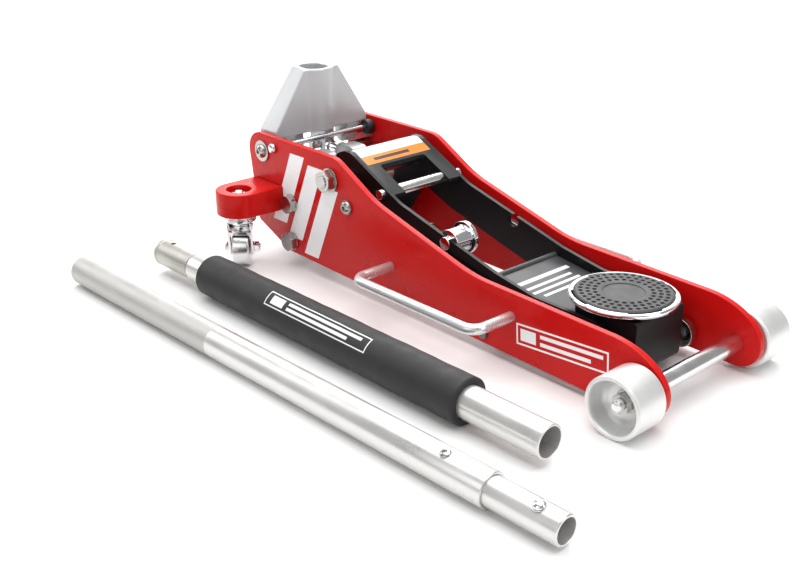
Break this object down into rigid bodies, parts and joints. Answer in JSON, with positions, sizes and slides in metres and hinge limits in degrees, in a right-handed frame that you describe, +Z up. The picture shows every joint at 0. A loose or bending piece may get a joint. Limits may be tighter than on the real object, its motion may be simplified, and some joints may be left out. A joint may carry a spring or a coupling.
{
  "type": "car jack",
  "caption": "Low-profile trolley jack on wheels and swivel casters, with a levelled lifting arm, a round padded saddle and plug-together handle sections lying beside it.",
  "frame": {"origin": "middle of the footprint of the jack and its handle sections, on the floor", "axes": "+X forward, from the handle socket to the front wheels; +Y to the jack's left; +Z up"},
  "size_m": [0.795, 0.518, 0.25],
  "materials": {
    "red_paint": "gloss powder coat with a fine orange peel",
    "arm_black": "semi-gloss black powder coat",
    "bracket_black": "matte black paint over a casting",
    "web_grey": "dark grey satin paint",
    "cast_grey": "silver-grey paint over a sand casting",
    "power_silver": "machined and painted casting",
    "wheel_satin": "turned satin aluminium",
    "bar_steel": "bright drawn bar",
    "zinc_steel": "zinc-plated fasteners",
    "dark_steel": "dark plated steel",
    "chrome": "bright chrome",
    "pad_rubber": "black moulded rubber",
    "tube_satin": "satin drawn tube",
    "plug_zinc": "dull machined steel",
    "foam_black": "closed-cell foam"
  },
  "bodies": {
    "frame": {"side_plate_right": "red_paint", "side_plate_left": "red_paint", "front_axle": "bar_steel", "axle_nut_right": "zinc_steel", "axle_nut_left": "zinc_steel", "arm_pivot_shaft": "zinc_steel", "arm_pivot_nut_right": "zinc_steel", "arm_pivot_nut_left": "zinc_steel", "hex_bolt_right_lower": "zinc_steel", "hex_bolt_right_upper": "zinc_steel", "hex_bolt_left_lower": "zinc_steel", "hex_bolt_left_upper": "zinc_steel", "socket_pivot_bolt_right": "zinc_steel", "socket_pivot_bolt_left": "zinc_steel", "link_pivot_screw_right": "zinc_steel", "link_pivot_screw_left": "zinc_steel", "bumper_right": "pad_rubber", "bumper_left": "pad_rubber", "spacer_right": "zinc_steel", "spacer_left": "zinc_steel", "grab_handle_right": "bar_steel", "grab_handle_left": "bar_steel", "caster_ear_right": "red_paint", "caster_ear_left": "red_paint", "stop_bar": "bar_steel", "lower_tie_bolt": "dark_steel", "power_unit": "power_silver"},
    "arm": {"lift_arm": "arm_black", "ram_pin": "zinc_steel", "arm_cross_bar": "bar_steel", "arm_web_plate": "web_grey", "spring_anchor": "chrome", "return_spring": "dark_steel", "saddle_pivot_pin": "zinc_steel"},
    "bracket": {"saddle_bracket": "bracket_black", "link_pin": "zinc_steel"},
    "saddle": {"saddle_cup": "chrome", "saddle_pad": "pad_rubber"},
    "links": {"levelling_link_right": "zinc_steel", "levelling_link_left": "zinc_steel"},
    "ram": {"ram": "chrome"},
    "socket": {"handle_socket": "cast_grey"},
    "plunger_right": {"pump_plunger_right": "chrome"},
    "plunger_left": {"pump_plunger_left": "chrome"},
    "release": {"release_joint": "chrome"},
    "front_wheel_right": {"front_wheel_right": "wheel_satin"},
    "front_wheel_left": {"front_wheel_left": "wheel_satin"},
    "caster_right": {"caster_fork_right": "chrome", "caster_axle_right": "chrome"},
    "caster_left": {"caster_fork_left": "chrome", "caster_axle_left": "chrome"},
    "caster_wheel_right": {"caster_wheel_right": "wheel_satin"},
    "caster_wheel_left": {"caster_wheel_left": "wheel_satin"},
    "lower_section": {"handle_lower_tube": "tube_satin", "handle_lower_insert": "plug_zinc", "handle_foam_sleeve": "foam_black"},
    "upper_section": {"handle_upper_tube": "tube_satin", "handle_upper_insert": "tube_satin", "handle_tube_rivet": "zinc_steel"},
    "snap_button": {"handle_snap_button": "zinc_steel"}
  },
  "joints": [
    {"name": "arm_lift", "type": "hinge", "parent": "frame", "child": "arm", "pos_m": [-0.17724, 0.08843, 0.141], "axis": [0, -1, 0], "range_deg": [0, 50], "stiffness_Nm_per_rad": 8, "springref_deg": -34.38},
    {"name": "bracket_level", "type": "hinge", "parent": "arm", "child": "bracket", "pos_m": [0.21576, 0.08843, 0.057], "axis": [0, -1, 0], "range_deg": [-50.5, 0]},
    {"name": "link_swing", "type": "hinge", "parent": "frame", "child": "links", "pos_m": [-0.14424, 0.08843, 0.113], "axis": [0, -1, 0], "range_deg": [0, 50.5]},
    {"name": "ram_stroke", "type": "slide", "parent": "frame", "child": "ram", "axis": [1, 0, 0], "range_m": [0, 0.0885]},
    {"name": "saddle_swivel", "type": "hinge", "parent": "bracket", "child": "saddle", "pos_m": [0.21626, 0.08843, 0.08], "axis": [0, 0, 1], "continuous": true},
    {"name": "handle_tilt", "type": "hinge", "parent": "frame", "child": "socket", "pos_m": [-0.32024, 0.08843, 0.148], "axis": [0, -1, 0], "range_deg": [0, 60], "stiffness_Nm_per_rad": 4, "springref_deg": -28.65},
    {"name": "release_turn", "type": "hinge", "parent": "frame", "child": "release", "pos_m": [-0.32024, 0.08843, 0.13], "axis": [0, 0, 1], "range_deg": [0, 180]},
    {"name": "pump_stroke_right", "type": "slide", "parent": "frame", "child": "plunger_right", "axis": [1, 0, 0], "range_m": [0, 0.019]},
    {"name": "pump_stroke_left", "type": "slide", "parent": "frame", "child": "plunger_left", "axis": [1, 0, 0], "range_m": [0, 0.019]},
    {"name": "front_wheel_spin_right", "type": "hinge", "parent": "frame", "child": "front_wheel_right", "pos_m": [0.31076, -0.02157, 0.034], "axis": [0, 1, 0], "continuous": true},
    {"name": "front_wheel_spin_left", "type": "hinge", "parent": "frame", "child": "front_wheel_left", "pos_m": [0.31076, 0.19843, 0.034], "axis": [0, 1, 0], "continuous": true},
    {"name": "caster_swivel_right", "type": "hinge", "parent": "frame", "child": "caster_right", "pos_m": [-0.30774, -0.05157, 0.08], "axis": [0, 0, 1], "continuous": true},
    {"name": "caster_spin_right", "type": "hinge", "parent": "caster_right", "child": "caster_wheel_right", "pos_m": [-0.31143, -0.04819, 0.025], "axis": [-0.6756, -0.7373, 0], "continuous": true},
    {"name": "caster_swivel_left", "type": "hinge", "parent": "frame", "child": "caster_left", "pos_m": [-0.30774, 0.22843, 0.08], "axis": [0, 0, 1], "continuous": true},
    {"name": "caster_spin_left", "type": "hinge", "parent": "caster_left", "child": "caster_wheel_left", "pos_m": [-0.31143, 0.23181, 0.025], "axis": [-0.6756, -0.7373, 0], "continuous": true},
    {"name": "lower_section_lift", "type": "slide", "parent": "frame", "child": "lower_section", "axis": [0, 0, 1], "range_m": [0, 0.3]},
    {"name": "upper_section_lift", "type": "slide", "parent": "frame", "child": "upper_section", "axis": [0, 0, 1], "range_m": [0, 0.3]},
    {"name": "snap_button_press", "type": "slide", "parent": "upper_section", "child": "snap_button", "axis": [0.0083, -0.3089, 0.9511], "range_m": [-0.004, 0], "stiffness_N_per_m": 600, "springref_m": 0.003}
  ],
  "couplings": [
    {"joint": "bracket_level", "follows": "arm_lift", "ratio": -1},
    {"joint": "link_swing", "follows": "arm_lift", "ratio": 1},
    {"joint": "ram_stroke", "follows": "arm_lift", "m_per_rad": 0.1006},
    {"joint": "pump_stroke_right", "follows": "handle_tilt", "m_per_rad": 0.01793},
    {"joint": "pump_stroke_left", "follows": "handle_tilt", "m_per_rad": 0.01793}
  ]
}
